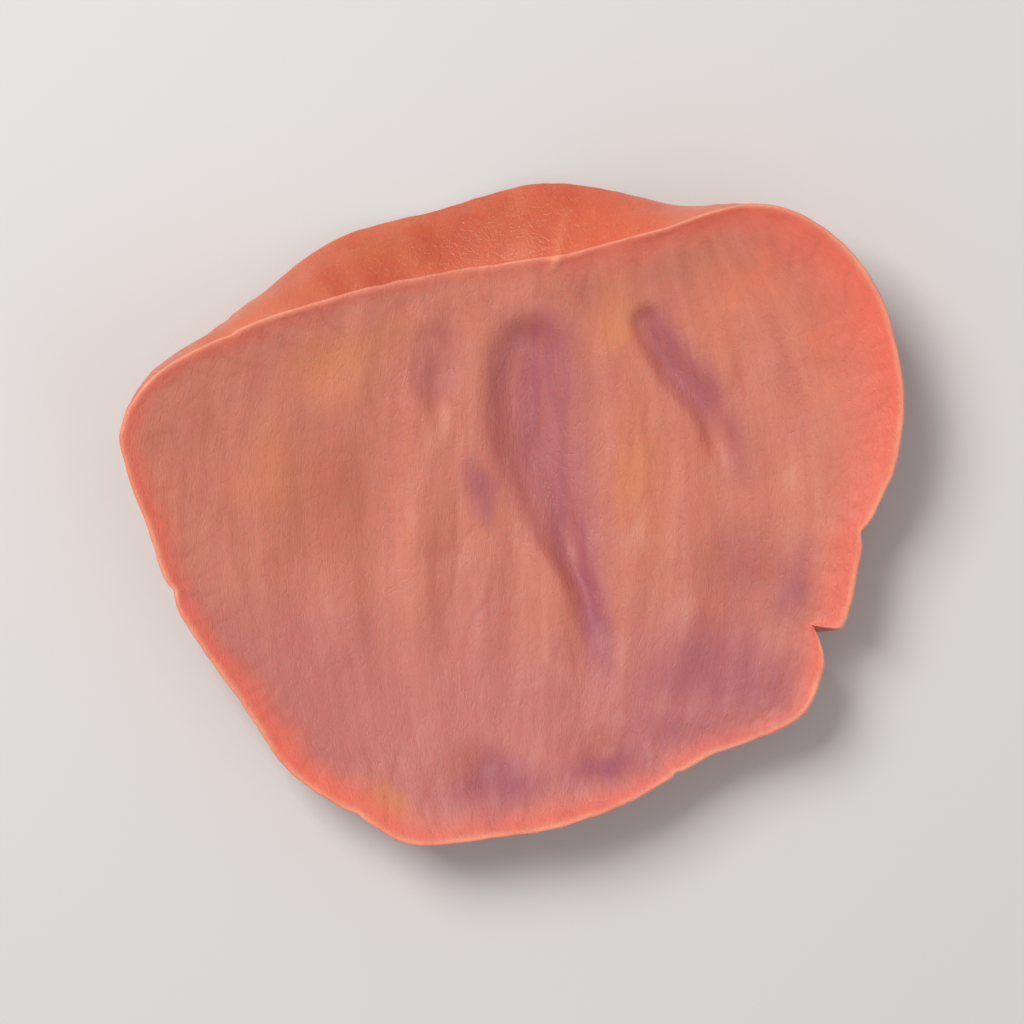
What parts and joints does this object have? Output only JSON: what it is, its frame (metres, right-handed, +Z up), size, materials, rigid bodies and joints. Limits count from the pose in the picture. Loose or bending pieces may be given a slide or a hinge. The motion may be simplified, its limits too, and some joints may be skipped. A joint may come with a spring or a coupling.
{
  "type": "dried persimmon slice",
  "caption": "Dried persimmon slice, cut along the fruit, with sunk seed chambers, a raised wavy peel rim, a torn nick and a peel-covered shoulder.",
  "frame": {"origin": "on the surface the slice lies on, under the middle of its bounding box", "axes": "+Z up out of the front cut face, +X across the fruit along the slice's long side, +Y towards the shoulder where the stalk was"},
  "size_m": [0.046, 0.0392, 0.0063],
  "materials": {
    "dried_flesh": "satin"
  },
  "bodies": {
    "root": {"persimmon_slice": "dried_flesh"}
  },
  "joints": []
}
